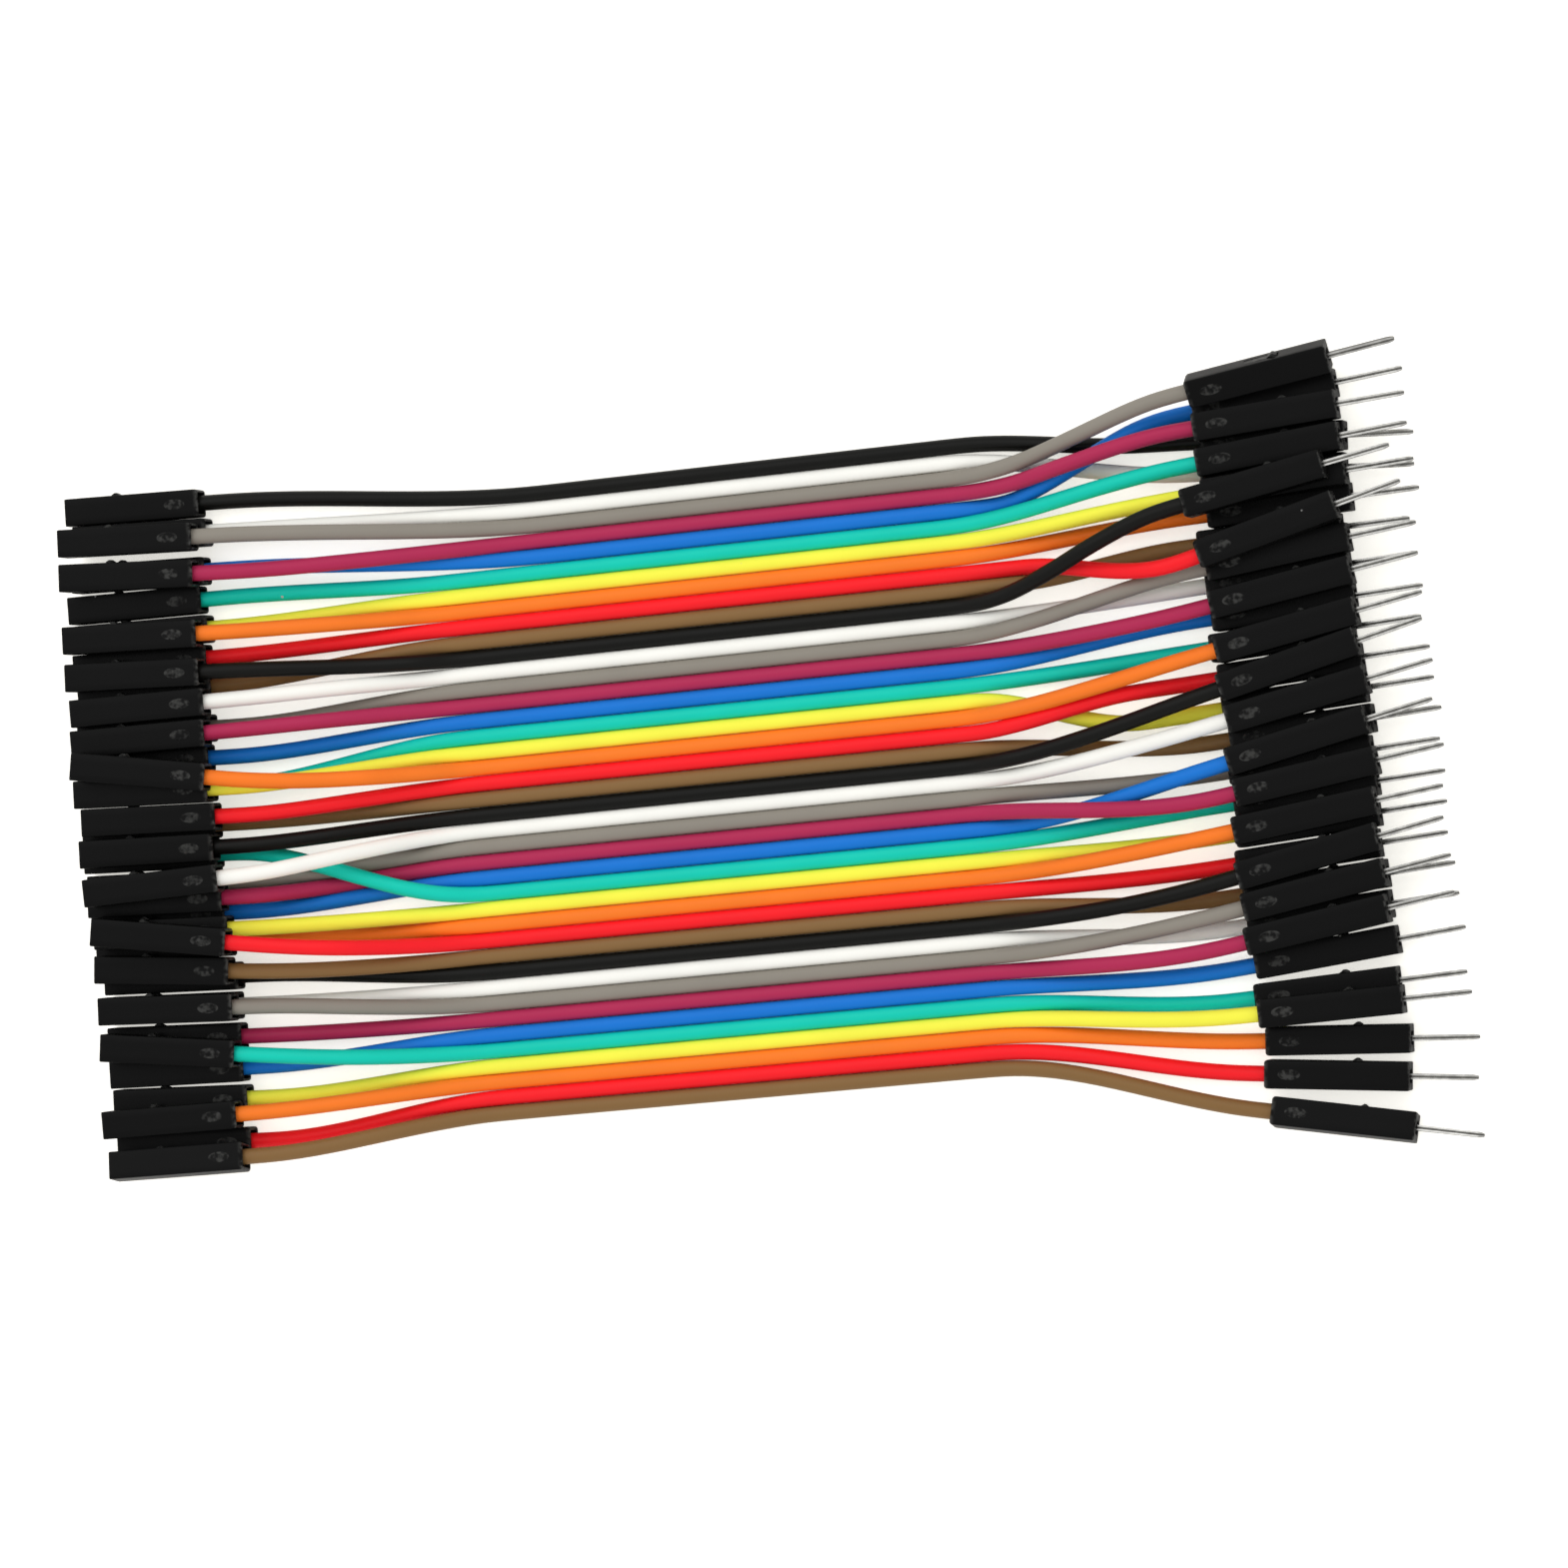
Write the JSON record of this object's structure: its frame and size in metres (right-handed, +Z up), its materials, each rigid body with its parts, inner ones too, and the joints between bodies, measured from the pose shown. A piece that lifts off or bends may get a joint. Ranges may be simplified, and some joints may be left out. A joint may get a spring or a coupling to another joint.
{
  "type": "breadboard jumper wire ribbon",
  "caption": "Flat rainbow ribbon of bonded breadboard jumper wires, split at both ends, with black single-way housings: sockets at one end and thin square pins at the other.",
  "frame": {"origin": "middle of the underside of the box round the whole ribbon, on the surface that it lies on", "axes": "+X along the bonded wires from the sockets to the pins, +Y across the ribbon towards the first black wire, +Z up from the surface that it lies on"},
  "size_m": [0.1272, 0.0712, 0.0077],
  "materials": {
    "pvc_black": "satin flexible PVC insulation",
    "pvc_white": "satin flexible PVC insulation",
    "pvc_grey": "satin flexible PVC insulation",
    "pvc_purple": "satin flexible PVC insulation",
    "pvc_blue": "satin flexible PVC insulation",
    "pvc_green": "satin flexible PVC insulation",
    "pvc_yellow": "satin flexible PVC insulation",
    "pvc_orange": "satin flexible PVC insulation",
    "pvc_red": "satin flexible PVC insulation",
    "pvc_brown": "satin flexible PVC insulation",
    "housing_plastic": "moulded black plastic, satin",
    "terminal_metal": "tin plated, bright"
  },
  "bodies": {
    "root": {"jumper_01_black": "pvc_black", "jumper_02_white": "pvc_white", "jumper_03_grey": "pvc_grey", "jumper_04_purple": "pvc_purple", "jumper_05_blue": "pvc_blue", "jumper_06_green": "pvc_green", "jumper_07_yellow": "pvc_yellow", "jumper_08_orange": "pvc_orange", "jumper_09_red": "pvc_red", "jumper_10_brown": "pvc_brown", "jumper_11_black": "pvc_black", "jumper_12_white": "pvc_white", "jumper_13_grey": "pvc_grey", "jumper_14_purple": "pvc_purple", "jumper_15_blue": "pvc_blue", "jumper_16_green": "pvc_green", "jumper_17_yellow": "pvc_yellow", "jumper_18_orange": "pvc_orange", "jumper_19_red": "pvc_red", "jumper_20_brown": "pvc_brown", "jumper_21_black": "pvc_black", "jumper_22_white": "pvc_white", "jumper_23_grey": "pvc_grey", "jumper_24_purple": "pvc_purple", "jumper_25_blue": "pvc_blue", "jumper_26_green": "pvc_green", "jumper_27_yellow": "pvc_yellow", "jumper_28_orange": "pvc_orange", "jumper_29_red": "pvc_red", "jumper_30_brown": "pvc_brown", "jumper_31_black": "pvc_black", "jumper_32_white": "pvc_white", "jumper_33_grey": "pvc_grey", "jumper_34_purple": "pvc_purple", "jumper_35_blue": "pvc_blue", "wire_36_green": "pvc_green", "female_housing_36": "housing_plastic", "female_terminal_36": "terminal_metal", "male_housing_36": "housing_plastic", "male_terminal_36": "terminal_metal", "wire_37_yellow": "pvc_yellow", "female_housing_37": "housing_plastic", "female_terminal_37": "terminal_metal", "male_housing_37": "housing_plastic", "male_terminal_37": "terminal_metal", "wire_38_orange": "pvc_orange", "female_housing_38": "housing_plastic", "female_terminal_38": "terminal_metal", "male_housing_38": "housing_plastic", "male_terminal_38": "terminal_metal", "wire_39_red": "pvc_red", "female_housing_39": "housing_plastic", "female_terminal_39": "terminal_metal", "male_housing_39": "housing_plastic", "male_terminal_39": "terminal_metal", "wire_40_brown": "pvc_brown", "female_housing_40": "housing_plastic", "female_terminal_40": "terminal_metal", "male_housing_40": "housing_plastic", "male_terminal_40": "terminal_metal"}
  },
  "joints": []
}
